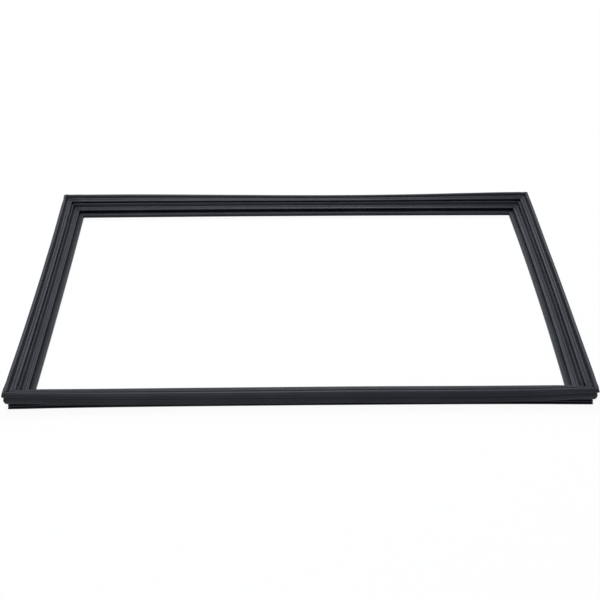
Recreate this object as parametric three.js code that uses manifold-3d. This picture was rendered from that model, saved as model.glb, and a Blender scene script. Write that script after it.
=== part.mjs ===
// Refrigerator door gasket: a soft extruded seal, cut in four lengths and welded at mitred corners
// into one rectangular ring, with a flexible magnet strip inside each of its four sides.
// Units are millimetres, +Z is up, and the ring lies flat on the tip of its mounting dart.
// The section is drawn in u, the distance inwards from the ring's outer edge, and v, the height.

import * as THREE from 'three';
import { mergeVertices } from 'three/addons/utils/BufferGeometryUtils.js';
import Module from 'manifold-3d';

const wasm = await Module();
wasm.setup();

// Outer size of the ring, corner to corner
const RING_LENGTH = 696;
const RING_DEPTH = 476;

// Section
const SECTION_WIDTH = 32;
const WALL = 0.9;
const HOLLOW_ROUNDING = 0.4;

// Blunt mounting dart under the base plate, which is pushed into the groove of the door
const DART_INSET = 8.2;
const DART_DEPTH = 7.2;
const DART_STEM = 3.0;
const DART_TIP = 5.2;
const BARB_EDGE = 1.0;
const BARB_UNDERCUT = 0.3;
const BARBS = [
  { from: 0, to: 1.1, width: 8.4 },
  { from: 3.0, to: 4.5, width: 7.8 },
];

// Base plate, and the lip that turns down at its inner edge to lie against the door's liner
const PLATE = 1.6;
const LIP_RISE = 0.2;
const LIP_HEIGHT = 5.2;
const LIP_THICKNESS = 1.5;
const LIP_BEND = 3.4;

// Outer side of the bellows: a bulge over a slanted underside, and the notch under the magnet pocket
const BULGE_INSET = 0.8;
const BULGE_ABOVE_PLATE = 7.4;
const BULGE_FOOT = { inset: 1.9, abovePlate: 2.2 };
const UNDERSIDE_INSET = 5.4;
const NOTCH_DEPTH = 2.4;
const NOTCH_ABOVE_PLATE = 10.8;
const NOTCH_HEIGHT = 1.5;

// Inner side of the bellows: pleats like steps, from the lowest one up, each a root and its crest,
// then the root beside the pocket. The lowest fold is below them and overhangs the lip.
const PLEATS = [
  { root: { inset: 22.1, abovePlate: 5.0 }, crest: { inset: 20.0, abovePlate: 6.6 } },
  { root: { inset: 17.8, abovePlate: 6.2 }, crest: { inset: 16.3, abovePlate: 10.4 } },
];
const POCKET_ROOT = { inset: 14.7, abovePlate: 10.2 };
const FOLD_FROM_EDGE = 5.9;
const FOLD_ABOVE_PLATE = 4.8;
const FOLD_UNDERCUT = 3.2;

// Magnet strip, and the pocket that holds it behind the sealing face. The pocket is tilted inwards and
// down about the middle of its nose; insets on it are along the face, from the nose's outer end.
const MAGNET_WIDTH = 10.6;
const MAGNET_THICKNESS = 2.6;
const MAGNET_CLEARANCE = 0.3;
const NOSE = 1.9;
const NOSE_ABOVE_PLATE = 14.8;
const FACE_THICKNESS = 1.9;
const FACE_HOLLOW = { inset: 5.8, width: 4.2, depth: 1.1 };
const FACE_GROOVE = { inset: 10.2, width: 1.0, depth: 0.3 };
const POCKET_TILT = THREE.MathUtils.degToRad(24.5);

// Breather hole near a corner of each side, up through the base plate and the pocket's floor
const BREATHER_DIAMETER = 1.2;
const BREATHER_INSET = 10.4;
const BREATHER_FROM_CORNER = 34.0;
const BREATHER_SIDES = 12;

// How the free ring lies. Each side bows in its own plane, and its bellows sink between the stiff
// corners: the higher the spread, the sooner. Skew moves the lowest place along the side. The nose
// sinks most, and what lies further in than the hinge doesn't sink. The front side also rolls
// inwards over the foot of its dart, in degrees, so that its lip comes down towards the floor.
const SIDES = {
  front: { bow: 1.7, sink: 7.2, spread: 8, skew: 0, roll: 7 },
  right: { bow: -2.6, sink: 4.0, spread: 3, skew: 0, roll: 0 },
  back: { bow: -1.5, sink: 4.6, spread: 2, skew: -0.2, roll: 0 },
  left: { bow: 1.0, sink: 4.0, spread: 3, skew: 0, roll: 0 },
};
const SINK_HINGE = 20;

// Places along a side, as shares of its half length, where its section is set
const STATIONS = [-1, -0.96, -0.85, -0.6, -0.2, 0.2, 0.6, 0.85, 0.96];

// Heights and insets that follow from the sizes above
const plateTop = DART_DEPTH + PLATE;
const overPlate = ({ inset, abovePlate }) => ({ u: inset, v: plateTop + abovePlate });
const foldTip = overPlate({ inset: SECTION_WIDTH - FOLD_FROM_EDGE, abovePlate: FOLD_ABOVE_PLATE });
const foldRoot = { u: foldTip.u - FOLD_UNDERCUT, v: plateTop };
const bulge = overPlate({ inset: BULGE_INSET, abovePlate: BULGE_ABOVE_PLATE });
const bulgeFoot = overPlate(BULGE_FOOT);
const notch = overPlate({ inset: NOTCH_DEPTH, abovePlate: NOTCH_ABOVE_PLATE });
const dartHeel = new THREE.Vector2(DART_INSET + DART_TIP / 2, 0);
const notchFoot = { u: (NOTCH_DEPTH + BULGE_INSET) / 2, v: notch.v - NOTCH_HEIGHT };

// Sizes of the pocket in its own frame, up from the underside of its floor
const cavityTop = WALL + MAGNET_THICKNESS + 2 * MAGNET_CLEARANCE;
const faceTop = cavityTop + FACE_THICKNESS;
const cavityEnd = NOSE + MAGNET_WIDTH + 2 * MAGNET_CLEARANCE;
const pocketEnd = cavityEnd + WALL;
const noseCentre = new THREE.Vector2(faceTop / 2, plateTop + NOSE_ABOVE_PLATE);

// A point of the tilted pocket, from its place along the face and its height over the floor's underside
function onPocket(across, up) {
  const flat = new THREE.Vector2(across, noseCentre.y - faceTop / 2 + up);
  const { x, y } = flat.rotateAround(noseCentre, -POCKET_TILT);
  return { u: x, v: y };
}

// A corner of an outline: cut is how far its rounding reaches along the edges, in steps straight pieces
const corner = (u, v, cut = 0, steps = 2) => ({ u, v, cut, steps });
const rounded = ({ u, v }, cut, steps) => corner(u, v, cut, steps);

// Points of a closed outline with its corners rounded
function roundedOutline(corners) {
  const at = ({ u, v }) => new THREE.Vector2(u, v);
  return corners.flatMap((here, i) => {
    if (here.cut === 0) return [at(here)];
    const toward = (other) => {
      const edge = at(other).sub(at(here));
      return at(here).addScaledVector(edge, Math.min(here.cut / edge.length(), 0.5));
    };
    const start = toward(corners.at(i - 1));
    const end = toward(corners[(i + 1) % corners.length]);
    return new THREE.QuadraticBezierCurve(start, at(here), end).getPoints(here.steps);
  });
}

// The hollow inside a walled outline; each corner's wall is the thickness of the edge that follows it
function hollowInside(corners) {
  const inwardLine = (from, to) => {
    const along = new THREE.Vector2(to.u - from.u, to.v - from.v).normalize();
    const inward = new THREE.Vector2(-along.y, along.x);
    return { along, point: new THREE.Vector2(from.u, from.v).addScaledVector(inward, from.wall) };
  };
  return roundedOutline(corners.map((here, i) => {
    const before = inwardLine(corners.at(i - 1), here);
    const after = inwardLine(here, corners[(i + 1) % corners.length]);
    const gap = after.point.clone().sub(before.point);
    const reach = gap.cross(after.along) / before.along.cross(after.along);
    const meet = before.point.addScaledVector(before.along, reach);
    return corner(meet.x, meet.y, here.softened ?? HOLLOW_ROUNDING, 1);
  }));
}

// One flank of the dart, from its tip up to the base plate; side is 1 inwards and -1 outwards
function dartFlank(side) {
  const half = (width) => DART_INSET + (side * width) / 2;
  const barbs = BARBS.flatMap(({ from, to, width }) => [
    corner(half(from === 0 ? DART_TIP : DART_STEM), from),
    corner(half(width), to),
    corner(half(width), to + BARB_EDGE),
    corner(half(DART_STEM), to + BARB_EDGE + BARB_UNDERCUT),
  ]);
  return [...barbs, corner(half(DART_STEM), DART_DEPTH)];
}

// The lip from the base plate's underside, round its turned-down edge, to the root under the fold
function lipCorners() {
  const edge = SECTION_WIDTH;
  const top = plateTop + LIP_RISE;
  const foot = top - LIP_HEIGHT;
  return [
    corner(foldRoot.u, DART_DEPTH, 1),
    corner(edge - LIP_THICKNESS, top - LIP_THICKNESS, 0.8),
    corner(edge - LIP_THICKNESS, foot, 0.4, 1),
    corner(edge, foot, 0.8),
    corner(edge, top, 2.0, 4),
    corner(edge - LIP_BEND, top, 1.2),
    rounded(foldRoot, 0.6),
  ];
}

// The bellows' inner side, up from the lowest fold to the pocket
function innerBellowsCorners() {
  const pleats = PLEATS.flatMap(({ root, crest }) => [
    rounded(overPlate(root), 0.8),
    rounded(overPlate(crest), 1.0, 3),
  ]);
  return [rounded(foldTip, 1.3, 4), ...pleats, rounded(overPlate(POCKET_ROOT), 0.5)];
}

// The sealing face over the magnet, with a narrow groove and a wide hollow, and the rounded nose
function pocketCorners() {
  const dip = ({ inset, width, depth }, steps) => [
    rounded(onPocket(inset + width / 2, faceTop)),
    rounded(onPocket(inset, faceTop - 2 * depth), width / 2, steps),
    rounded(onPocket(inset - width / 2, faceTop)),
  ];
  return [
    rounded(onPocket(pocketEnd, faceTop / 2), 0.8),
    rounded(onPocket(pocketEnd, faceTop), 1.1, 3),
    ...dip(FACE_GROOVE, 2),
    ...dip(FACE_HOLLOW, 4),
    rounded(onPocket(0, faceTop), 2.8, 5),
    rounded(onPocket(0, 0), 3.1, 5),
  ];
}

// The bellows' outer side, down from the notch under the pocket to the base plate's underside
function outerBellowsCorners() {
  return [
    rounded(notch, 0.9),
    rounded(notchFoot, 0.8),
    rounded(bulge, 1.6, 3),
    rounded(bulgeFoot, 1.4, 3),
    corner(UNDERSIDE_INSET, DART_DEPTH, 0.8),
  ];
}

const bodyOutline = roundedOutline([
  ...dartFlank(1),
  ...lipCorners(),
  ...innerBellowsCorners(),
  ...pocketCorners(),
  ...outerBellowsCorners(),
  ...dartFlank(-1).toReversed(),
]);

// The air chamber lies inside the bellows, over the base plate and under the magnet pocket
const chamberOutline = hollowInside([
  { u: UNDERSIDE_INSET, v: DART_DEPTH, wall: PLATE },
  { u: foldRoot.u - (FOLD_UNDERCUT * PLATE) / FOLD_ABOVE_PLATE, v: DART_DEPTH, wall: WALL },
  { ...foldTip, wall: WALL, softened: 0.8 },
  ...PLEATS.flatMap(({ root, crest }) => [
    { ...overPlate(root), wall: WALL },
    { ...overPlate(crest), wall: WALL },
  ]),
  { ...overPlate(POCKET_ROOT), wall: WALL },
  { ...onPocket(cavityEnd, WALL), wall: WALL },
  { ...onPocket(notch.u + WALL, WALL), wall: WALL },
  { ...notch, wall: WALL },
  { ...notchFoot, wall: WALL },
  { ...bulge, wall: WALL, softened: 0.8 },
  { ...bulgeFoot, wall: WALL, softened: 0.8 },
]);

// The pocket's cavity, or the magnet strip that fills it but for a clearance all round
function pocketFilling(clearance) {
  return roundedOutline([
    rounded(onPocket(NOSE + clearance, WALL + clearance)),
    rounded(onPocket(cavityEnd - clearance, WALL + clearance)),
    rounded(onPocket(cavityEnd - clearance, cavityTop - clearance)),
    rounded(onPocket(NOSE + clearance, cavityTop - clearance), 0.6, 1),
  ]);
}

const cavityOutline = pocketFilling(0);
const magnetOutline = pocketFilling(MAGNET_CLEARANCE);

// Where each side lies: how long it is, how far out its edge is, and its turn about the middle
const frames = {
  front: { length: RING_LENGTH, reach: RING_DEPTH / 2, turn: 0 },
  right: { length: RING_DEPTH, reach: RING_LENGTH / 2, turn: Math.PI / 2 },
  back: { length: RING_LENGTH, reach: RING_DEPTH / 2, turn: Math.PI },
  left: { length: RING_DEPTH, reach: RING_LENGTH / 2, turn: -Math.PI / 2 },
};
const UP = new THREE.Vector3(0, 0, 1);

// How far a point of the free section gives way, from 0 in the dart and plate to 1 at the notch. The
// outer wall hangs over the plate's edge, so all of it comes down with the notch.
function giveAt(u, v) {
  if (v < DART_DEPTH) return 0;
  const upWall = (v - plateTop) / NOTCH_ABOVE_PLATE;
  const outWall = (UNDERSIDE_INSET - u) / (UNDERSIDE_INSET - BULGE_FOOT.inset);
  return THREE.MathUtils.clamp(Math.max(upWall, outWall), 0, 1);
}

// A point of the section, set in the ring at a share of a side's half length from its middle
function place(side, share, { x: u, y: v }) {
  const { bow, sink, spread, skew, roll } = SIDES[side];
  const { length, reach, turn } = frames[side];
  const slid = Math.abs(share - skew * (1 - share * share));
  const slack = (1 - slid ** spread) ** 2;
  const fromHinge = THREE.MathUtils.clamp(1 - u / SINK_HINGE, 0, 1);
  const lain = new THREE.Vector2(u, v - giveAt(u, v) * fromHinge * sink * slack)
    .rotateAround(dartHeel, -THREE.MathUtils.degToRad(roll * slack));
  const along = share * (length / 2 - lain.x);
  const inward = lain.x + bow * (1 - share * share);
  return new THREE.Vector3(along, inward - reach, lain.y).applyAxisAngle(UP, turn);
}

// A closed mesh through rings of points; a loop joins its last ring to its first, a strip has end caps
function skin(rings, isLoop) {
  const count = rings[0].length;
  const indices = [];
  const spans = isLoop ? rings.length : rings.length - 1;
  for (let i = 0; i < spans; i += 1) {
    const next = (i + 1) % rings.length;
    for (let j = 0; j < count; j += 1) {
      const k = (j + 1) % count;
      const [a, b, c, d] = [i * count + j, next * count + j, next * count + k, i * count + k];
      indices.push(a, c, b, a, d, c);
    }
  }
  if (!isLoop) {
    const last = (rings.length - 1) * count;
    for (let j = 1; j < count - 1; j += 1) {
      indices.push(0, j + 1, j);
      indices.push(last, last + j, last + j + 1);
    }
  }
  const geometry = new THREE.BufferGeometry().setFromPoints(rings.flat());
  geometry.setIndex(indices);
  return geometry;
}

// The section swept all the way round the ring, mitred at the corners
function sweepRing(outline) {
  const rings = Object.keys(SIDES).flatMap((side) =>
    STATIONS.map((share) => outline.map((point) => place(side, share, point))));
  return skin(rings, true);
}

// The section swept along one side, and cut back from its corners
function sweepSide(side, outline) {
  const rings = STATIONS.slice(1).map((share) => outline.map((point) => place(side, share, point)));
  return skin(rings, false);
}

// Three.js geometry as a solid for cutting, and back again
function toSolid(geometry) {
  const bare = geometry.clone();
  bare.deleteAttribute('normal');
  bare.deleteAttribute('uv');
  const merged = mergeVertices(bare);
  return new wasm.Manifold(new wasm.Mesh({
    numProp: 3,
    vertProperties: new Float32Array(merged.attributes.position.array),
    triVerts: new Uint32Array(merged.index.array),
  }));
}

function toGeometry(solid) {
  const mesh = solid.getMesh();
  const geometry = new THREE.BufferGeometry();
  geometry.setAttribute('position', new THREE.BufferAttribute(mesh.vertProperties, 3));
  geometry.setIndex(new THREE.BufferAttribute(mesh.triVerts, 1));
  geometry.computeVertexNormals();
  return geometry;
}

// A drill for the breather hole near the start of a side, from under the base plate into the pocket
function breatherDrill(side) {
  const bottom = DART_DEPTH - BREATHER_DIAMETER / 2;
  const share = -1 + BREATHER_FROM_CORNER / (frames[side].length / 2);
  const floor = onPocket(BREATHER_INSET, WALL + MAGNET_CLEARANCE);
  const centre = place(side, share, { x: BREATHER_INSET, y: floor.v });
  const top = centre.z;
  const radius = BREATHER_DIAMETER / 2;
  const drill = new THREE.CylinderGeometry(radius, radius, top - bottom, BREATHER_SIDES);
  drill.rotateX(Math.PI / 2);
  drill.translate(centre.x, centre.y, (top + bottom) / 2);
  return toSolid(drill);
}

function buildBody() {
  let body = toSolid(sweepRing(bodyOutline))
    .subtract(toSolid(sweepRing(chamberOutline)))
    .subtract(toSolid(sweepRing(cavityOutline)));
  for (const side of Object.keys(SIDES)) {
    body = body.subtract(breatherDrill(side));
  }
  return toGeometry(body);
}

const vinyl = new THREE.MeshStandardMaterial({ color: 0x1b1d21, roughness: 0.45, metalness: 0 });
const ferrite = new THREE.MeshStandardMaterial({ color: 0x4a443e, roughness: 0.8, metalness: 0 });

function part(name, geometry, material) {
  const mesh = new THREE.Mesh(geometry, material);
  mesh.name = name;
  return mesh;
}

const gasket = new THREE.Group();
gasket.add(part('gasket_body', buildBody(), vinyl));
for (const side of Object.keys(SIDES)) {
  gasket.add(part(`magnet_strip_${side}`, sweepSide(side, magnetOutline), ferrite));
}

// The origin is the middle of the ring's footprint, on the surface that it lies on
const footprint = new THREE.Box3().setFromObject(gasket).getCenter(new THREE.Vector3());
gasket.position.set(-footprint.x, -footprint.y, 0);

export default gasket;
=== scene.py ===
"""Looks of a refrigerator door gasket: a soft black ring on a pale floor.

The gasket is one extruded PVC profile, cut in four lengths and welded at mitred corners, with a
flexible magnet strip in the pocket of each side. Sizes are in millimetres, as in the part's source,
and are turned to metres where a mesh is made. A section is drawn in u, the distance inwards from the
ring's outer edge, and v, the height over the floor.
"""

import logging
import math
from bisect import bisect_right
from dataclasses import dataclass, field
from enum import Enum

import bpy
from mathutils import Matrix, Vector

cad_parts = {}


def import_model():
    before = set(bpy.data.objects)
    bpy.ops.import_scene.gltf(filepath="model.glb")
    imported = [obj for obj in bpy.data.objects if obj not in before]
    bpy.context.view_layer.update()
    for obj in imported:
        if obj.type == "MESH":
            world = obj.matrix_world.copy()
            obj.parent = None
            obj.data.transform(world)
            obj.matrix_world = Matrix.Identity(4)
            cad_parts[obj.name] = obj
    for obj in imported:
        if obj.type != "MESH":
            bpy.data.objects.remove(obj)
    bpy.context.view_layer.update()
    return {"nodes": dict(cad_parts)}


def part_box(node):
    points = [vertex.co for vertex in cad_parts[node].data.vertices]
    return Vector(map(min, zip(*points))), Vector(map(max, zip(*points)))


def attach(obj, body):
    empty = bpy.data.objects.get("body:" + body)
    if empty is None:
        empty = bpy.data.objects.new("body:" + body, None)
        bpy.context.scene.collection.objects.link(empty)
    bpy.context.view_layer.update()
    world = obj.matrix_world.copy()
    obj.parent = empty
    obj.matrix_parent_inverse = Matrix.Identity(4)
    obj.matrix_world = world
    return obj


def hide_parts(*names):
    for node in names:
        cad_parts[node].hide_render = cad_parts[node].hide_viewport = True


MM = 0.001
LEAST_STEP = 0.01
LOG = logging.getLogger("gasket")

Point = tuple[float, float]


def srgb(red: int, green: int, blue: int) -> tuple[float, float, float, float]:
    """A linear colour from three sRGB values of 0 to 255."""

    def linear(value: int) -> float:
        """One channel, made linear."""
        share = value / 255
        return share / 12.92 if share <= 0.04045 else ((share + 0.055) / 1.055) ** 2.4

    return (linear(red), linear(green), linear(blue), 1.0)


# Node trees


class Wiring:
    """Short calls to add and join the nodes of one tree."""

    def __init__(self, tree: bpy.types.NodeTree) -> None:
        """Keeps the tree that the nodes go into."""
        self.tree = tree

    def add(self, kind: str, inputs: dict | None = None, **settings: object) -> bpy.types.Node:
        """Adds a node.

        Args:
            kind: the node's type name.
            inputs: values or output sockets, by the input's name or place.
            settings: the node's own properties.

        Returns:
            The new node.
        """
        node = self.tree.nodes.new(kind)
        for name, value in settings.items():
            setattr(node, name, value)
        for name, value in (inputs or {}).items():
            self.put(node.inputs[name], value)
        return node

    def put(self, socket: bpy.types.NodeSocket, value: object) -> None:
        """Joins an output to a socket, or sets the socket's own value."""
        if isinstance(value, bpy.types.NodeSocket):
            self.tree.links.new(value, socket)
        else:
            socket.default_value = value

    def math(self, operation: str, *values: object, clamp: bool = False) -> bpy.types.NodeSocket:
        """A Math node's result."""
        kind = "ShaderNodeMath"
        node = self.add(kind, dict(enumerate(values)), operation=operation, use_clamp=clamp)
        return node.outputs[0]

    def vector(self, operation: str, *values: object) -> bpy.types.NodeSocket:
        """A Vector Math node's vector result."""
        node = self.add("ShaderNodeVectorMath", operation=operation)
        for place, value in enumerate(values):
            name = "Scale" if operation == "SCALE" and place == 1 else place
            self.put(node.inputs[name], value)
        return node.outputs["Vector"]

    def lay_out(self, step: float = 190.0, rows: int = 6) -> None:
        """Spreads the nodes over the editor, so that a person can read the tree."""
        for place, node in enumerate(self.tree.nodes):
            node.location = (step * (place // rows), -step * (place % rows))


# Finishes


@dataclass(frozen=True)
class VinylFinish:
    """Satin soft PVC with the faint lines that a die leaves along an extrusion, painted shade in its
    grooves and a painted highlight on its ridges.

    Stretches and scales are repeats in a metre, and depths are in metres. A groove's depth is the
    profile's crease attribute, in millimetres. A groove deeper than shallow gets painted shade, a
    darker colour and a lower specular level, and a ridge is mixed toward the paler colour as a
    painted highlight.
    """

    name: str = "black_vinyl"
    colour: tuple[float, float, float, float] = srgb(25, 27, 32)
    # A paler tone: the random dust bloom and the weld bead take it, and ridges take it as a painted
    # highlight.
    bloom_and_sheen: tuple[float, float, float, float] = srgb(50, 53, 61)
    # Painted shade: the dark colour that grooves deeper than shallow are mixed toward.
    deep: tuple[float, float, float, float] = srgb(15, 16, 20)
    specular: float = 0.13
    shallow: float = 0.35
    groove_shade_gain: float = 1.2
    ridge_highlight_gain: float = 0.8
    roughness: tuple[float, float] = (0.32, 0.48)
    line_stretch: tuple[float, float, float] = (5.0, 2600.0, 1.0)
    line_depth: float = 0.00006
    drift_stretch: tuple[float, float, float] = (9.0, 120.0, 1.0)
    cloud_scale: float = 18.0
    cloud_edges: tuple[float, float] = (0.42, 0.72)
    grain_scale: float = 1700.0
    grain_depth: float = 0.00002
    dust_share: float = 0.5
    ridge_highlight_share: float = 0.5
    weld_share: float = 0.25
    weld_gloss: float = 0.1

    def material(self) -> bpy.types.Material:
        """Builds the material.

        Returns:
            A node material that reads the profile's own UV map, which is in metres along and round it.
        """
        made = bpy.data.materials.new(self.name)
        made.use_nodes = True
        made.node_tree.nodes.clear()
        wire = Wiring(made.node_tree)
        place = wire.add("ShaderNodeTexCoord").outputs["Object"]
        along = wire.add("ShaderNodeUVMap", uv_map=Profile.UV_NAME).outputs["UV"]
        lines = self._noise(wire, wire.vector("MULTIPLY", along, self.line_stretch), 1.0, 3.0)
        drift = self._noise(wire, wire.vector("MULTIPLY", along, self.drift_stretch), 1.0, 2.0)
        cloud = self._noise(wire, place, self.cloud_scale, 3.0)
        grain = self._noise(wire, place, self.grain_scale, 2.0)
        thin, thick = self.cloud_edges
        dust = wire.add("ShaderNodeMapRange", {"Value": cloud, "From Min": thin, "From Max": thick})
        weld = wire.add("ShaderNodeAttribute", attribute_name=Profile.WELD_NAME).outputs["Fac"]
        pale = wire.math("MULTIPLY", dust.outputs["Result"], wire.math("MULTIPLY", drift, self.dust_share))
        pale = wire.math("ADD", pale, wire.math("MULTIPLY", weld, self.weld_share), clamp=True)
        crease = wire.add("ShaderNodeAttribute", attribute_name=Profile.CREASE_NAME).outputs["Fac"]
        # Painted shade: grooves deeper than shallow are mixed toward the dark deep colour.
        over = wire.math("SUBTRACT", crease, self.shallow)
        groove = wire.math("MULTIPLY", over, self.groove_shade_gain, clamp=True)
        # Painted highlight: ridges are mixed toward the pale colour, on top of the dust and weld tone.
        ridge = wire.math("MULTIPLY", crease, -self.ridge_highlight_gain, clamp=True)
        pale_and_ridge_sheen = wire.math("ADD", pale, wire.math("MULTIPLY", ridge, self.ridge_highlight_share), clamp=True)
        vinyl = self._mix(wire, pale_and_ridge_sheen, self.colour, self.bloom_and_sheen)
        colour = self._mix(wire, groove, vinyl, self.deep)
        # Painted shade: grooves also get a lower specular level, so they reflect less.
        level = wire.math("MULTIPLY", wire.math("SUBTRACT", 1.0, groove), self.specular)
        low, high = self.roughness
        rough = wire.add("ShaderNodeMapRange", {"Value": drift, "To Min": low, "To Max": high})
        gloss = wire.math("MULTIPLY", weld, self.weld_gloss)
        smooth = wire.math("SUBTRACT", rough.outputs["Result"], gloss)
        bump = wire.add("ShaderNodeBump", {"Height": lines, "Distance": self.line_depth})
        fine = wire.add("ShaderNodeBump", {"Height": grain, "Distance": self.grain_depth})
        wire.put(fine.inputs["Normal"], bump.outputs["Normal"])
        shader = wire.add("ShaderNodeBsdfPrincipled", {
            "Base Color": colour, "Roughness": smooth, "Normal": fine.outputs["Normal"],
            "Specular IOR Level": level})
        wire.add("ShaderNodeOutputMaterial", {"Surface": shader.outputs["BSDF"]})
        wire.lay_out()
        return made

    @staticmethod
    def _mix(wire: Wiring, share: bpy.types.NodeSocket,
             low: object, high: object) -> bpy.types.NodeSocket:
        """Two colours mixed; the share is the second one's."""
        mixed = wire.add("ShaderNodeMix", {"Factor": share, 6: low, 7: high}, data_type="RGBA")
        return mixed.outputs[2]

    @staticmethod
    def _noise(wire: Wiring, where: bpy.types.NodeSocket,
               scale: float, detail: float) -> bpy.types.NodeSocket:
        """A noise texture's value at a place."""
        inputs = {"Vector": where, "Scale": scale, "Detail": detail}
        return wire.add("ShaderNodeTexNoise", inputs).outputs["Fac"]


@dataclass(frozen=True)
class FerriteFinish:
    """Matte brown-grey strip of soft plastic filled with ferrite powder."""

    name: str = "magnet_strip"
    dark: tuple[float, float, float, float] = srgb(62, 57, 52)
    pale: tuple[float, float, float, float] = srgb(92, 85, 78)
    roughness: float = 0.8
    powder_scale: float = 900.0
    pit_depth: float = 0.00008

    def material(self) -> bpy.types.Material:
        """Builds the material, which reads Object coordinates."""
        made = bpy.data.materials.new(self.name)
        made.use_nodes = True
        made.node_tree.nodes.clear()
        wire = Wiring(made.node_tree)
        place = wire.add("ShaderNodeTexCoord").outputs["Object"]
        powder = wire.add("ShaderNodeTexNoise", {
            "Vector": place, "Scale": self.powder_scale, "Detail": 4.0})
        ramp = wire.add("ShaderNodeMix", data_type="RGBA")
        wire.put(ramp.inputs["Factor"], powder.outputs["Fac"])
        wire.put(ramp.inputs[6], self.dark)
        wire.put(ramp.inputs[7], self.pale)
        bump = wire.add("ShaderNodeBump", {"Height": powder.outputs["Fac"], "Distance": self.pit_depth})
        shader = wire.add("ShaderNodeBsdfPrincipled", {
            "Base Color": ramp.outputs[2], "Roughness": self.roughness, "Normal": bump.outputs["Normal"]})
        wire.add("ShaderNodeOutputMaterial", {"Surface": shader.outputs["BSDF"]})
        wire.lay_out()
        return made


# The profile's section


@dataclass(frozen=True)
class Corner:
    """A corner of a section.

    The cut is how far its rounding reaches along the edges, and steps are the rounding's pieces.
    """

    u: float
    v: float
    cut: float
    steps: int


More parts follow.
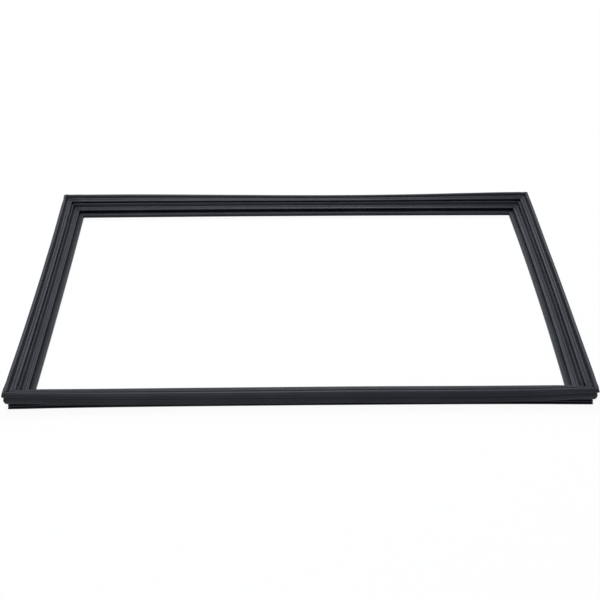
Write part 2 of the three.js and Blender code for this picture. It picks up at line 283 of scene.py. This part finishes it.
@dataclass
class Section:
    """The extruded profile's section, drawn as in the part's source but with more points.

    A barb is given by its lower end, its edge's height and its width. The bulge, its foot, the
    notch, the pleats' roots and crests and the pocket's root are given by their inset and their
    height over the base plate. The hollow and the groove in the sealing face are given by their
    place along it, their width and their depth.
    """

    width: float = 32.0
    dart_inset: float = 8.2
    dart_depth: float = 7.2
    dart_stem: float = 3.0
    dart_tip: float = 5.2
    barb_edge: float = 1.0
    barb_undercut: float = 0.3
    barbs: tuple[tuple[float, float, float], ...] = ((0.0, 1.1, 8.4), (3.0, 4.5, 7.8))
    plate: float = 1.6
    lip_rise: float = 0.2
    lip_height: float = 5.2
    lip_thickness: float = 1.5
    lip_bend: float = 3.4
    bulge: Point = (0.8, 7.4)
    bulge_foot: Point = (1.9, 2.2)
    underside_inset: float = 5.4
    notch: Point = (2.4, 10.8)
    notch_height: float = 1.5
    pleats: tuple[tuple[Point, Point], ...] = (((22.1, 5.0), (20.0, 6.6)), ((17.8, 6.2), (16.3, 10.4)))
    pocket_root: Point = (14.7, 10.2)
    fold_from_edge: float = 5.9
    fold_above_plate: float = 4.8
    fold_undercut: float = 3.2
    pocket_height: float = 6.0
    pocket_end: float = 14.0
    nose_above_plate: float = 14.8
    pocket_tilt: float = math.radians(24.5)
    face_hollow: tuple[float, float, float] = (5.8, 4.2, 1.1)
    face_groove: tuple[float, float, float] = (10.2, 1.0, 0.3)
    longest_edge: float = 0.9

    @property
    def plate_top(self) -> float:
        """Height of the base plate's upper face."""
        return self.dart_depth + self.plate

    def over_plate(self, point: Point, cut: float, steps: int = 6) -> Corner:
        """A rounded corner from an inset and a height over the base plate."""
        return Corner(point[0], self.plate_top + point[1], cut, steps)

    def on_pocket(self, across: float, up: float, cut: float, steps: int) -> Corner:
        """A corner of the tilted pocket.

        Args:
            across: distance along the sealing face, from the nose's outer end.
            up: height over the underside of the pocket's floor, square to the face.
            cut: how far the rounding reaches.
            steps: straight pieces in the rounding.

        Returns:
            The corner in the section's own u and v.
        """
        middle = self.pocket_height / 2
        over, high = across - middle, up - middle
        cos, sin = math.cos(self.pocket_tilt), math.sin(self.pocket_tilt)
        centre = self.plate_top + self.nose_above_plate
        return Corner(middle + over * cos + high * sin, centre - over * sin + high * cos, cut, steps)

    def _dart_flank(self, side: int) -> list[Corner]:
        """One flank of the dart, from its tip up to the plate; side is 1 inwards and -1 outwards."""

        def at(width: float, v: float, cut: float = 0.2) -> Corner:
            """A corner at half a width from the dart's middle."""
            return Corner(self.dart_inset + side * width / 2, v, cut, 3)

        corners = []
        for start, end, width in self.barbs:
            corners += [
                at(self.dart_tip if start == 0 else self.dart_stem, start, 0.5),
                at(width, end, 0.35),
                at(width, end + self.barb_edge, 0.25),
                at(self.dart_stem, end + self.barb_edge + self.barb_undercut),
            ]
        return corners + [at(self.dart_stem, self.dart_depth)]

    def _lip(self) -> list[Corner]:
        """The lip, from the plate's underside round its turned-down edge to the root under the fold."""
        edge, top = self.width, self.plate_top + self.lip_rise
        foot = top - self.lip_height
        root = edge - self.fold_from_edge - self.fold_undercut
        return [
            Corner(root, self.dart_depth, 1.0, 4),
            Corner(edge - self.lip_thickness, top - self.lip_thickness, 0.8, 4),
            Corner(edge - self.lip_thickness, foot, 0.5, 4),
            Corner(edge, foot, 0.8, 5),
            Corner(edge, top, 2.0, 9),
            Corner(edge - self.lip_bend, top, 1.2, 4),
            Corner(root, self.plate_top, 0.6, 4),
        ]

    def _face(self) -> list[Corner]:
        """The sealing face over the magnet, and the rounded nose."""
        top = self.pocket_height

        def dip(place: tuple[float, float, float], steps: int) -> list[Corner]:
            """A hollow in the face."""
            inset, width, depth = place
            return [
                self.on_pocket(inset + width / 2, top, 0.5, 4),
                self.on_pocket(inset, top - 2 * depth, width / 2.3, steps),
                self.on_pocket(inset - width / 2, top, 0.5, 4),
            ]

        return [
            self.on_pocket(self.pocket_end, top / 2, 0.8, 4),
            self.on_pocket(self.pocket_end, top, 1.1, 6),
            *dip(self.face_groove, 5),
            *dip(self.face_hollow, 9),
            self.on_pocket(0, top, 2.8, 10),
            self.on_pocket(0, 0, 3.1, 10),
        ]

    def _corners(self) -> list[Corner]:
        """All the corners of the body's outline, anticlockwise."""
        notch = self.over_plate(self.notch, 0.9)
        foot_u = (self.notch[0] + self.bulge[0]) / 2
        fold = (self.width - self.fold_from_edge, self.fold_above_plate)
        pleats = []
        for root, crest in self.pleats:
            pleats += [self.over_plate(root, 0.8), self.over_plate(crest, 1.0, 7)]
        return [
            *self._dart_flank(1),
            *self._lip(),
            self.over_plate(fold, 1.3, 8),
            *pleats,
            self.over_plate(self.pocket_root, 0.5, 4),
            *self._face(),
            notch,
            Corner(foot_u, notch.v - self.notch_height, 0.8, 5),
            self.over_plate(self.bulge, 1.6, 7),
            self.over_plate(self.bulge_foot, 1.4, 7),
            Corner(self.underside_inset, self.dart_depth, 0.8, 5),
            *reversed(self._dart_flank(-1)),
        ]

    def outline(self) -> list[Point]:
        """Points of the closed outline.

        Returns:
            Points in millimetres, anticlockwise, no further apart than the longest edge.
        """
        corners = self._corners()
        rounded: list[Vector] = []
        for place, here in enumerate(corners):
            rounded += self._rounding(corners[place - 1], here, corners[(place + 1) % len(corners)])
        points: list[Point] = []
        for place, start in enumerate(rounded):
            end = rounded[(place + 1) % len(rounded)]
            pieces = max(1, math.ceil((end - start).length / self.longest_edge))
            points += [tuple(start.lerp(end, piece / pieces)) for piece in range(pieces)]
        return points

    @staticmethod
    def _rounding(before: Corner, here: Corner, after: Corner) -> list[Vector]:
        """A corner's rounding, as points on a parabola between its two edges."""
        middle = Vector((here.u, here.v))

        def toward(other: Corner) -> Vector:
            """Where the rounding meets the edge to another corner."""
            edge = Vector((other.u, other.v)) - middle
            return middle + edge * min(here.cut / edge.length, 0.5)

        start, end = toward(before), toward(after)
        shares = [step / here.steps for step in range(here.steps + 1)]
        curve = [start * (1 - t) ** 2 + middle * 2 * t * (1 - t) + end * t * t for t in shares]
        return [p for i, p in enumerate(curve) if i == 0 or (p - curve[i - 1]).length > LEAST_STEP]


# The ring


@dataclass(frozen=True)
class SideShape:
    """How one side lies.

    The length is over the corners, the reach is from the ring's middle to the side's outer edge, and
    the turn is the angle from the front side. The bow is how far the middle lies inwards, the sink
    how far the bellows sag there, the spread how flat the sag is along the side, the skew how far
    its lowest place is off the middle, and the roll how far the section tips, in degrees.
    """

    length: float
    reach: float
    turn: float
    bow: float
    sink: float
    spread: float
    skew: float = 0.0
    roll: float = 0.0


class Side(Enum):
    """The four sides, in the order of the walk round the ring."""

    FRONT = SideShape(696, 238, 0.0, 1.7, 7.2, 8, roll=7.0)
    RIGHT = SideShape(476, 348, math.pi / 2, -2.6, 4.0, 3)
    BACK = SideShape(696, 238, math.pi, -1.5, 4.6, 2, -0.2)
    LEFT = SideShape(476, 348, -math.pi / 2, 1.0, 4.0, 3)


@dataclass
class Profile:
    """The welded ring of profile, swept by a Geometry Nodes tree along the four sides.

    Merging distance and level slack are in metres. The least bead is the share of the bead's height
    that stands all along a weld.
    """

    UV_NAME = "along_and_round"
    WELD_NAME = "weld"
    CREASE_NAME = "crease"
    MERGE_WITHIN = 1e-5
    LEVEL_SLACK = 1e-6
    LEAST_BEAD = 0.4

    section: Section = field(default_factory=Section)
    finish: VinylFinish = field(default_factory=VinylFinish)
    stations: int = 74
    corner_pull: float = 1.9
    sink_hinge: float = 20.0
    crease_reach: float = 1.8
    wave: float = 0.8
    wave_scale: float = 7.0
    bead: float = 0.3
    bead_width: float = 0.4
    pucker: float = 3.2
    pucker_scale: float = 75.0
    pucker_width: float = 22.0
    seed: float = 4.7

    def build(self, low: Vector, high: Vector) -> bpy.types.Object:
        """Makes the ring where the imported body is.

        Args:
            low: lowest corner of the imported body, in metres.
            high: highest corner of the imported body, in metres.

        Returns:
            The finished piece, a plain mesh at the origin.
        """
        path = self._path()
        outline = self._outline()
        tree = self._tree()
        modifier = path.modifiers.new("sweep", "NODES")
        modifier.node_group = tree
        values = {
            "Section": outline, "Plate Under": self.section.dart_depth * MM,
            "Plate Top": self.section.plate_top * MM, "Sink Height": self.section.notch[1] * MM,
            "Wall Root": self.section.underside_inset * MM,
            "Wall Foot": self.section.bulge_foot[0] * MM,
            "Heel": (self.section.dart_inset + self.section.dart_tip / 2) * MM,
            "Hinge": self.sink_hinge * MM,
            "Wave": self.wave * MM, "Wave Scale": self.wave_scale, "Bead": self.bead * MM,
            "Bead Width": self.bead_width * MM, "Pucker": self.pucker * MM,
            "Pucker Scale": self.pucker_scale, "Pucker Width": self.pucker_width * MM, "Seed": self.seed,
            "Finish": self.finish.material(),
        }
        for item in tree.interface.items_tree:
            if item.in_out == "INPUT" and item.name in values:
                modifier[item.identifier] = values[item.name]
        bpy.context.view_layer.update()
        graph = bpy.context.evaluated_depsgraph_get()
        shown = path.evaluated_get(graph)
        mesh = bpy.data.meshes.new_from_object(shown, preserve_all_data_layers=True, depsgraph=graph)
        path.modifiers.clear()
        for made in (path, outline):
            bpy.data.objects.remove(made)
        ring = bpy.data.objects.new("gasket_profile", mesh)
        mesh.name = ring.name
        bpy.context.scene.collection.objects.link(ring)
        self._centre(mesh, low, high)
        return ring

    @staticmethod
    def _centre(mesh: bpy.types.Mesh, low: Vector, high: Vector) -> None:
        """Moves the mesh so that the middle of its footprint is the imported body's."""
        xs = [v.co.x for v in mesh.vertices]
        ys = [v.co.y for v in mesh.vertices]
        middle = Vector(((min(xs) + max(xs)) / 2, (min(ys) + max(ys)) / 2, 0.0))
        wanted = (low + high) / 2
        mesh.transform(Matrix.Translation(Vector((wanted.x, wanted.y, 0.0)) - middle))

    def _shares(self) -> list[float]:
        """Places along a side, from -1 to just under 1, closer together towards the welds."""
        shares = []
        for step in range(self.stations):
            even = -1 + 2 * step / self.stations
            shares.append(math.copysign(1 - (1 - abs(even)) ** self.corner_pull, even))
        return shares

    def _path(self) -> bpy.types.Object:
        """The walk round the ring as a line of points, with what the tree needs to know at each.

        Returns:
            A mesh object whose points lie on the ring's outer edge. Its attributes are the way
            inwards for each metre of the section, the sink, the roll, the distance walked, and the
            distance from the nearest weld.
        """
        points, inward, sink, roll, walked, weld = [], [], [], [], [], []
        for side in Side:
            shape = side.value
            turn = Matrix.Rotation(shape.turn, 3, "Z")
            for share in self._shares():
                off = abs(share - shape.skew * (1 - share * share))
                bow = shape.bow * (1 - share * share)
                points.append(turn @ Vector((share * shape.length / 2, bow - shape.reach, 0)) * MM)
                inward.append(turn @ Vector((-share, 1, 0)))
                slack = (1 - off**shape.spread) ** 2
                sink.append(shape.sink * slack * MM)
                roll.append(math.radians(shape.roll) * slack)
                weld.append((1 - abs(share)) * shape.length / 2 * MM)
        for row in (points, inward, sink, roll, weld):
            row.append(row[0])
        total = 0.0
        for place, point in enumerate(points):
            total += (point - points[place - 1]).length if place else 0.0
            walked.append(total)
        path = self._line("ring_path", points)
        flat = [number for vector in inward for number in vector]
        path.data.attributes.new("inward", "FLOAT_VECTOR", "POINT").data.foreach_set("vector", flat)
        numbers = {"sink": sink, "roll": roll, "walked": walked, "from_weld": weld}
        for name, values in numbers.items():
            path.data.attributes.new(name, "FLOAT", "POINT").data.foreach_set("value", values)
        return path

    def _outline(self) -> bpy.types.Object:
        """The section as a line of points, clockwise, with the distance round it at each."""
        points = [Vector((u, v, 0)) * MM for u, v in reversed(self.section.outline())]
        points.append(points[0])
        round_it, total = [0.0], 0.0
        for place in range(1, len(points)):
            total += (points[place] - points[place - 1]).length
            round_it.append(total)
        outline = self._line("section_line", points)
        # The crease depth drives the finish's painted shade in grooves and painted highlight on ridges.
        numbers = {"round": round_it, self.CREASE_NAME: self._creases(points, round_it)}
        for name, values in numbers.items():
            outline.data.attributes.new(name, "FLOAT", "POINT").data.foreach_set("value", values)
        LOG.info("section: %d points, %.1f mm round", len(points) - 1, total / MM)
        return outline

    def _creases(self, points: list[Vector], round_it: list[float]) -> list[float]:
        """How deep in a groove each point of the section lies.

        Args:
            points: the section's points, clockwise, with the first one repeated at the end.
            round_it: the distance round the section at each point.

        Returns:
            The depth under a chord from a little before the point to a little after it, in
            millimetres. It is negative on a ridge.
        """

        def at(distance: float) -> Vector:
            """The section's place at a distance round it."""
            within = distance % round_it[-1]
            place = min(bisect_right(round_it, within), len(points) - 1)
            step = round_it[place] - round_it[place - 1]
            return points[place - 1].lerp(points[place], (within - round_it[place - 1]) / step)

        creases = []
        for point, here in zip(points, round_it):
            before, after = at(here - self.crease_reach * MM), at(here + self.crease_reach * MM)
            along = after - before
            outward = Vector((-along.y, along.x, 0)).normalized()
            creases.append(((before + after) / 2 - point).dot(outward) / MM)
        return creases

    @staticmethod
    def _line(name: str, points: list[Vector]) -> bpy.types.Object:
        """A mesh object of points joined in a row."""
        mesh = bpy.data.meshes.new(name)
        mesh.from_pydata(points, [(i, i + 1) for i in range(len(points) - 1)], [])
        made = bpy.data.objects.new(name, mesh)
        bpy.context.scene.collection.objects.link(made)
        return made

    def _tree(self) -> bpy.types.NodeTree:
        """The Geometry Nodes tree that sweeps the section round the path.

        Returns:
            A tree whose geometry input is the path. It makes a sheet with a row for each point of
            the path and a column for each point of the section, lets the bellows sink, rolls the
            section, sets it in place and closes the sheet's edges. Then it adds the slight waves of a
            soft extrusion and the bead and pucker of each weld.
        """
        tree = bpy.data.node_groups.new("sweep_ring", "GeometryNodeTree")
        numbers = ("Plate Under", "Plate Top", "Sink Height", "Wall Root", "Wall Foot", "Heel", "Hinge",
                   "Wave", "Wave Scale", "Bead", "Bead Width", "Pucker", "Pucker Scale",
                   "Pucker Width", "Seed")
        sockets = {"Geometry": "Geometry", "Section": "Object", "Finish": "Material"}
        sockets |= dict.fromkeys(numbers, "Float")
        for name, kind in sockets.items():
            tree.interface.new_socket(name, in_out="INPUT", socket_type=f"NodeSocket{kind}")
        tree.interface.new_socket("Geometry", in_out="OUTPUT", socket_type="NodeSocketGeometry")
        wire = Wiring(tree)
        given = wire.add("NodeGroupInput").outputs
        path = given["Geometry"]
        outline = wire.add("GeometryNodeObjectInfo", {"Object": given["Section"]}).outputs["Geometry"]

        def count(geometry: bpy.types.NodeSocket) -> bpy.types.NodeSocket:
            """Points in a mesh."""
            node = wire.add("GeometryNodeAttributeDomainSize", {"Geometry": geometry})
            return node.outputs["Point Count"]

        rows, columns = count(path), count(outline)
        grid = wire.add("GeometryNodeMeshGrid", {
            "Size X": 1.0, "Size Y": 1.0, "Vertices X": rows, "Vertices Y": columns})
        spot = wire.add("ShaderNodeSeparateXYZ", {0: wire.add("GeometryNodeInputPosition").outputs[0]})

        def index(position: bpy.types.NodeSocket, points: bpy.types.NodeSocket) -> bpy.types.NodeSocket:
            """A grid point's place in a row or column, from its position."""
            share = wire.math("ADD", position, 0.5)
            return wire.math("ROUND", wire.math("MULTIPLY", share, wire.math("SUBTRACT", points, 1.0)))

        row, column = index(spot.outputs["X"], rows), index(spot.outputs["Y"], columns)

        def sample(geometry: object, name: str, kind: str, place: object) -> bpy.types.NodeSocket:
            """An attribute of the path or the section, at a grid point's row or column."""
            if name:
                asked = wire.add("GeometryNodeInputNamedAttribute", {"Name": name}, data_type=kind)
            else:
                asked = wire.add("GeometryNodeInputPosition")
            node = wire.add("GeometryNodeSampleIndex", {
                "Geometry": geometry, "Value": asked.outputs[0], "Index": place}, data_type=kind)
            return node.outputs[0]

        edge = sample(path, "", "FLOAT_VECTOR", row)
        inward = sample(path, "inward", "FLOAT_VECTOR", row)
        sink = sample(path, "sink", "FLOAT", row)
        roll = sample(path, "roll", "FLOAT", row)
        walked = sample(path, "walked", "FLOAT", row)
        from_weld = sample(path, "from_weld", "FLOAT", row)
        round_it = sample(outline, "round", "FLOAT", column)
        crease = sample(outline, self.CREASE_NAME, "FLOAT", column)
        drawn = wire.add("ShaderNodeSeparateXYZ", {0: sample(outline, "", "FLOAT_VECTOR", column)})
        u, v = drawn.outputs["X"], drawn.outputs["Y"]

        give = self._give(wire, given, u, v)
        hinge = wire.math("SUBTRACT", 1.0, wire.math("DIVIDE", u, given["Hinge"]), clamp=True)
        sunk = wire.math("MULTIPLY", wire.math("MULTIPLY", give, hinge), sink)
        over = wire.math("SUBTRACT", u, given["Heel"])
        up = wire.math("SUBTRACT", v, sunk)
        cos, sin = wire.math("COSINE", roll), wire.math("SINE", roll)
        rolled = wire.math("ADD", wire.math("MULTIPLY", over, cos), wire.math("MULTIPLY", up, sin))
        across = wire.math("ADD", rolled, given["Heel"])
        height = wire.math("SUBTRACT", wire.math("MULTIPLY", up, cos), wire.math("MULTIPLY", over, sin))
        upright = wire.add("ShaderNodeCombineXYZ", {"Z": height}).outputs[0]
        placed = wire.vector("ADD", wire.vector("ADD", edge, wire.vector("SCALE", inward, across)), upright)

        unrolled = wire.add("ShaderNodeCombineXYZ", {"X": walked, "Y": round_it}).outputs[0]
        made = grid.outputs["Mesh"]
        made = wire.add("GeometryNodeStoreNamedAttribute", {
            "Geometry": made, "Name": self.UV_NAME, "Value": unrolled},
            data_type="FLOAT2", domain="CORNER").outputs[0]
        for name, value in (("from_weld", from_weld), ("freedom", give), (self.CREASE_NAME, crease)):
            made = wire.add("GeometryNodeStoreNamedAttribute", {
                "Geometry": made, "Name": name, "Value": value},
                data_type="FLOAT", domain="POINT").outputs[0]
        made = wire.add("GeometryNodeSetPosition", {"Geometry": made, "Position": placed}).outputs[0]
        made = wire.add("GeometryNodeMergeByDistance", {
            "Geometry": made, "Distance": self.MERGE_WITHIN}).outputs[0]
        made = wire.add("GeometryNodeFlipFaces", {"Mesh": made}).outputs[0]
        made = self._waves(wire, given, made)
        made = self._welds(wire, given, made)
        made = wire.add("GeometryNodeSetShadeSmooth", {"Geometry": made}).outputs[0]
        made = wire.add("GeometryNodeRealizeInstances", {"Geometry": made}).outputs[0]
        made = wire.add("GeometryNodeSetMaterial", {
            "Geometry": made, "Material": given["Finish"]}).outputs[0]
        wire.add("NodeGroupOutput", {"Geometry": made})
        wire.lay_out()
        return tree

    @staticmethod
    def _give(wire: Wiring, given: bpy.types.bpy_prop_collection,
              u: bpy.types.NodeSocket, v: bpy.types.NodeSocket) -> bpy.types.NodeSocket:
        """How freely a point sinks: 0 in the dart and the plate, 1 in the outer wall and the pocket."""
        up_wall = wire.math("DIVIDE", wire.math("SUBTRACT", v, given["Plate Top"]), given["Sink Height"])
        wall = wire.math("SUBTRACT", given["Wall Root"], given["Wall Foot"])
        out_wall = wire.math("DIVIDE", wire.math("SUBTRACT", given["Wall Root"], u), wall)
        free = wire.math("MAXIMUM", up_wall, out_wall, clamp=True)
        level = wire.math("SUBTRACT", given["Plate Under"], Profile.LEVEL_SLACK)
        over_dart = wire.math("GREATER_THAN", v, level)
        return wire.math("MULTIPLY", free, over_dart)

    @staticmethod
    def _named(wire: Wiring, name: str) -> bpy.types.NodeSocket:
        """A stored number at each point."""
        return wire.add("GeometryNodeInputNamedAttribute", {"Name": name}, data_type="FLOAT").outputs[0]

    def _waves(self, wire: Wiring, given: bpy.types.bpy_prop_collection,
               made: bpy.types.NodeSocket) -> bpy.types.NodeSocket:
        """Slow waves along the free bellows; the dart and plate stay as they are."""
        noise = wire.add("ShaderNodeTexNoise", {
            "Scale": given["Wave Scale"], "Detail": 2.0, "W": given["Seed"]}, noise_dimensions="4D")
        swing = wire.vector("SUBTRACT", noise.outputs["Color"], (0.5, 0.5, 0.5))
        size = wire.math("MULTIPLY", self._named(wire, "freedom"), given["Wave"])
        offset = wire.vector("SCALE", swing, size)
        return wire.add("GeometryNodeSetPosition", {"Geometry": made, "Offset": offset}).outputs[0]

    def _welds(self, wire: Wiring, given: bpy.types.bpy_prop_collection,
               made: bpy.types.NodeSocket) -> bpy.types.NodeSocket:
        """The thin bead of each mitred weld, and the pucker that its heat leaves beside it."""
        away = self._named(wire, "from_weld")

        def fade(width: bpy.types.NodeSocket) -> bpy.types.NodeSocket:
            """1 at the weld, falling to nothing over about twice the width."""
            share = wire.math("DIVIDE", away, width)
            return wire.math("EXPONENT", wire.math("MULTIPLY", wire.math("POWER", share, 2.0), -1.0))

        bead_share = fade(given["Bead Width"])
        made = wire.add("GeometryNodeStoreNamedAttribute", {
            "Geometry": made, "Name": self.WELD_NAME, "Value": bead_share},
            data_type="FLOAT", domain="POINT").outputs[0]
        noise = wire.add("ShaderNodeTexNoise", {
            "Scale": given["Pucker Scale"], "Detail": 2.0, "W": given["Seed"]},
            noise_dimensions="4D").outputs["Fac"]
        uneven = wire.math("ADD", noise, self.LEAST_BEAD)
        rise = wire.math("MULTIPLY", wire.math("MULTIPLY", bead_share, given["Bead"]), uneven)
        ripple = wire.math("MULTIPLY", wire.math("SUBTRACT", noise, 0.5), given["Pucker"])
        ripple = wire.math("MULTIPLY", ripple, fade(given["Pucker Width"]))
        ripple = wire.math("MULTIPLY", ripple, self._named(wire, "freedom"))
        size = wire.math("ADD", rise, ripple)
        offset = wire.vector("SCALE", wire.add("GeometryNodeInputNormal").outputs[0], size)
        return wire.add("GeometryNodeSetPosition", {"Geometry": made, "Offset": offset}).outputs[0]


@dataclass
class MagnetStrips:
    """The four flexible magnet strips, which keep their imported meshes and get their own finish."""

    finish: FerriteFinish = field(default_factory=FerriteFinish)

    def dress(self, nodes: dict[str, bpy.types.Object]) -> list[str]:
        """Gives each strip its material.

        Args:
            nodes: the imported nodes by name.

        Returns:
            The names of the strips.
        """
        material = self.finish.material()
        names = [f"magnet_strip_{side.name.lower()}" for side in Side]
        for name in names:
            mesh = nodes[name].data
            mesh.materials.clear()
            mesh.materials.append(material)
        return names


# Studio


@dataclass
class PhotoCamera:
    """The camera, as found from the ring's outline in the photograph."""

    focal_pixels: float = 1158.0
    image_pixels: float = 600.0
    sensor: float = 36.0
    pitch: float = math.radians(34.2)
    yaw: float = math.radians(0.9)
    roll: float = math.radians(0.1)
    distance: float = 1548.0
    clip_end: float = 50.0
    target: tuple[float, float] = (0.5, -9.65)

    def build(self) -> bpy.types.Object:
        """Makes the camera the scene's own."""
        cos, sin = math.cos(self.pitch), math.sin(self.pitch)
        ahead = Vector((math.sin(self.yaw) * cos, math.cos(self.yaw) * cos, -sin))
        level = Vector((math.cos(self.yaw), -math.sin(self.yaw), 0))
        upward = level.cross(ahead)
        right = math.cos(self.roll) * level + math.sin(self.roll) * upward
        up = -math.sin(self.roll) * level + math.cos(self.roll) * upward
        place = (Vector((*self.target, 0)) - ahead * self.distance) * MM
        data = bpy.data.cameras.new("photo_camera")
        data.sensor_width = self.sensor
        data.lens = self.focal_pixels / self.image_pixels * self.sensor
        data.clip_end = self.clip_end
        camera = bpy.data.objects.new("photo_camera", data)
        turned = Matrix((right, up, -ahead)).transposed().to_4x4()
        camera.matrix_world = Matrix.Translation(place) @ turned
        bpy.context.scene.collection.objects.link(camera)
        bpy.context.scene.camera = camera
        return camera


@dataclass(frozen=True)
class Softbox:
    """A square lamp: where it hangs, where it points, how wide it is and its power in watts."""

    name: str
    place: tuple[float, float, float]
    aim: tuple[float, float, float]
    width: float
    power: float
    tint: tuple[float, float, float] = (1.0, 1.0, 1.0)

    def build(self) -> bpy.types.Object:
        """Makes the lamp."""
        data = bpy.data.lights.new(self.name, "AREA")
        data.shape = "SQUARE"
        data.size = self.width
        data.energy = self.power
        data.color = self.tint
        lamp = bpy.data.objects.new(self.name, data)
        way = Vector(self.aim) - Vector(self.place)
        turned = way.to_track_quat("-Z", "Y").to_matrix().to_4x4()
        lamp.matrix_world = Matrix.Translation(self.place) @ turned
        bpy.context.scene.collection.objects.link(lamp)
        return lamp


@dataclass
class Studio:
    """A pale floor, a white surround and soft lamps."""

    floor_half: float = 6.0
    floor_colour: tuple[float, float, float, float] = (0.86, 0.86, 0.87, 1.0)
    shadow_share: float = 0.06
    surround: tuple[float, float, float, float] = (0.9, 0.95, 1.0, 1.0)
    surround_strength: float = 0.35
    lamps: tuple[Softbox, ...] = (
        Softbox("overhead", (-0.2, 0.9, 2.2), (0.0, 0.0, 0.0), 1.0, 46.0, (0.92, 0.96, 1.0)),
        Softbox("far", (0.3, 2.4, 1.9), (0.0, 0.0, 0.0), 0.8, 18.0, (0.86, 0.93, 1.0)),
        Softbox("near", (-0.6, -2.2, 1.3), (0.0, 0.0, 0.0), 1.2, 15.0, (1.0, 0.99, 0.97)),
    )

    def build(self) -> None:
        """Makes the floor, the world and the lamps, and sets the view transform."""
        bpy.context.scene.view_settings.view_transform = "Standard"
        self._floor()
        self._world()
        for lamp in self.lamps:
            lamp.build()

    @staticmethod
    def _seen(wire: Wiring) -> bpy.types.NodeSocket:
        """1 for a ray from the camera, or one that a glossy or clear surface sends on."""
        path = wire.add("ShaderNodeLightPath").outputs
        mirrored = wire.math("MAXIMUM", path["Is Glossy Ray"], path["Is Transmission Ray"])
        return wire.math("MAXIMUM", path["Is Camera Ray"], mirrored)

    def _floor(self) -> None:
        """The floor, white to the eye but for the shadow that falls on it."""
        half = self.floor_half
        mesh = bpy.data.meshes.new("floor")
        square = [(-half, -half, 0), (half, -half, 0), (half, half, 0), (-half, half, 0)]
        mesh.from_pydata(square, [], [(0, 1, 2, 3)])
        floor = bpy.data.objects.new("floor", mesh)
        bpy.context.scene.collection.objects.link(floor)
        material = bpy.data.materials.new("floor")
        material.use_nodes = True
        material.node_tree.nodes.clear()
        wire = Wiring(material.node_tree)
        paint = wire.add("ShaderNodeBsdfDiffuse", {"Color": self.floor_colour})
        white = wire.add("ShaderNodeEmission", {"Color": (1, 1, 1, 1), "Strength": 1.0})
        share = wire.math("MULTIPLY", self._seen(wire), 1 - self.shadow_share)
        mixed = wire.add("ShaderNodeMixShader", {
            0: share, 1: paint.outputs["BSDF"], 2: white.outputs["Emission"]})
        wire.add("ShaderNodeOutputMaterial", {"Surface": mixed.outputs["Shader"]})
        wire.lay_out()
        mesh.materials.append(material)

    def _world(self) -> None:
        """A cool even surround, white to the camera and in what mirrors it."""
        world = bpy.data.worlds.new("surround")
        bpy.context.scene.world = world
        world.use_nodes = True
        world.node_tree.nodes.clear()
        wire = Wiring(world.node_tree)
        soft = wire.add("ShaderNodeBackground", {
            "Color": self.surround, "Strength": self.surround_strength})
        white = wire.add("ShaderNodeBackground", {"Color": (1, 1, 1, 1), "Strength": 1.0})
        mixed = wire.add("ShaderNodeMixShader", {
            0: self._seen(wire), 1: soft.outputs[0], 2: white.outputs[0]})
        wire.add("ShaderNodeOutputWorld", {"Surface": mixed.outputs["Shader"]})
        wire.lay_out()


def main() -> None:
    """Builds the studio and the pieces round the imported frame, in order."""
    logging.basicConfig(level=logging.INFO, format="%(name)s: %(message)s")
    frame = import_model()
    PhotoCamera().build()
    Studio().build()
    ring = Profile().build(*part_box("gasket_body"))
    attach(ring, "root")
    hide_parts("gasket_body")
    LOG.info("%s: %d faces", ring.name, len(ring.data.polygons))
    for name in MagnetStrips().dress(frame["nodes"]):
        LOG.info("%s: packed mesh, dressed", name)


if __name__ == "__main__":
    main()
